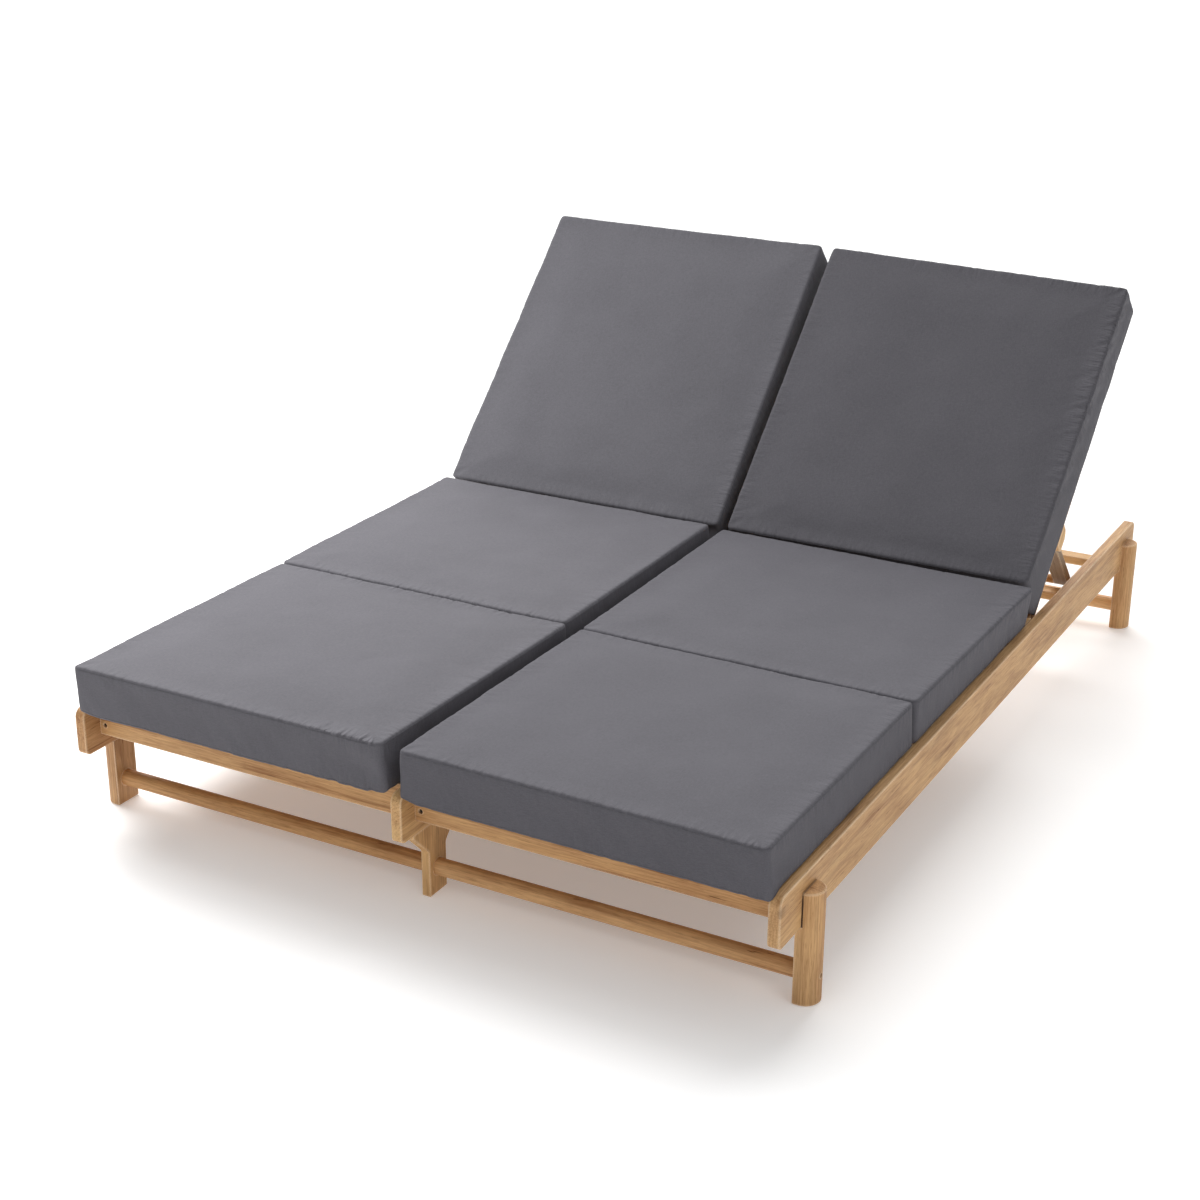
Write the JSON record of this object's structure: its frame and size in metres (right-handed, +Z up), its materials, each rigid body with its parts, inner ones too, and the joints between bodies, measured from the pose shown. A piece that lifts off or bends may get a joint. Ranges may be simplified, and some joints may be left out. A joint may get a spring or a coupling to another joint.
{
  "type": "double chaise lounger",
  "caption": "Wooden double chaise lounger with two backs that recline on propped stays and thick grey cushions.",
  "frame": {"origin": "on the floor under the middle of the whole piece", "axes": "+Y from the foot end to the head end, +Z up, +X to the right of a person who stands at the foot end and looks at the backs"},
  "size_m": [1.4766, 2.008, 0.8137],
  "materials": {
    "wood": "oiled, open grain",
    "cushion_fabric": "plain-woven outdoor polyester with piped seams",
    "steel": "dull zinc"
  },
  "bodies": {
    "frame": {"left_side_rail": "wood", "centre_rail": "wood", "right_side_rail": "wood", "front_centre_leg": "wood", "rear_centre_leg": "wood", "front_left_leg": "wood", "left_front_stretcher": "wood", "front_right_leg": "wood", "right_front_stretcher": "wood", "rear_left_leg": "wood", "left_rear_stretcher": "wood", "rear_right_leg": "wood", "right_rear_stretcher": "wood", "left_front_apron": "wood", "left_stay_slat": "wood", "left_rear_slat": "wood", "left_seat_rail": "wood", "left_seat_slats": "wood", "left_outer_cleat": "wood", "left_outer_rack": "wood", "left_inner_cleat": "wood", "left_inner_rack": "wood", "right_front_apron": "wood", "right_stay_slat": "wood", "right_rear_slat": "wood", "right_seat_rail": "wood", "right_seat_slats": "wood", "right_outer_cleat": "wood", "right_outer_rack": "wood", "right_inner_cleat": "wood", "right_inner_rack": "wood", "frame_fixings": "steel", "left_foot_cushion": "cushion_fabric", "left_seat_cushion": "cushion_fabric", "right_foot_cushion": "cushion_fabric", "right_seat_cushion": "cushion_fabric"},
    "left_back": {"left_outer_stile": "wood", "left_outer_prop_lug": "wood", "left_inner_stile": "wood", "left_inner_prop_lug": "wood", "left_back_bottom_rail": "wood", "left_back_top_rail": "wood", "left_back_slats": "wood", "left_pivot_pins": "steel", "left_back_cushion": "cushion_fabric"},
    "left_prop": {"left_outer_prop_leg": "wood", "left_inner_prop_leg": "wood", "left_prop_crossbar": "wood"},
    "right_back": {"right_outer_stile": "wood", "right_outer_prop_lug": "wood", "right_inner_stile": "wood", "right_inner_prop_lug": "wood", "right_back_bottom_rail": "wood", "right_back_top_rail": "wood", "right_back_slats": "wood", "right_pivot_pins": "steel", "right_back_cushion": "cushion_fabric"},
    "right_prop": {"right_outer_prop_leg": "wood", "right_inner_prop_leg": "wood", "right_prop_crossbar": "wood"}
  },
  "joints": [
    {"name": "left_back_recline", "type": "hinge", "parent": "frame", "child": "left_back", "pos_m": [-0.3499, 0.322, 0.2134], "axis": [1, 0, 0], "range_deg": [-43.5, 6.5]},
    {"name": "left_prop_fold", "type": "hinge", "parent": "left_back", "child": "left_prop", "pos_m": [-0.3499, 0.5101, 0.34641], "axis": [1, 0, 0], "range_deg": [-13.7, 90.7]},
    {"name": "right_back_recline", "type": "hinge", "parent": "frame", "child": "right_back", "pos_m": [0.3499, 0.322, 0.2134], "axis": [1, 0, 0], "range_deg": [-43.5, 6.5]},
    {"name": "right_prop_fold", "type": "hinge", "parent": "right_back", "child": "right_prop", "pos_m": [0.3499, 0.5101, 0.34641], "axis": [1, 0, 0], "range_deg": [-13.7, 90.7]}
  ],
  "couplings": [
    {"joint": "left_prop_fold", "follows": "left_back_recline", "ratio": -2.08},
    {"joint": "right_prop_fold", "follows": "right_back_recline", "ratio": -2.08}
  ]
}
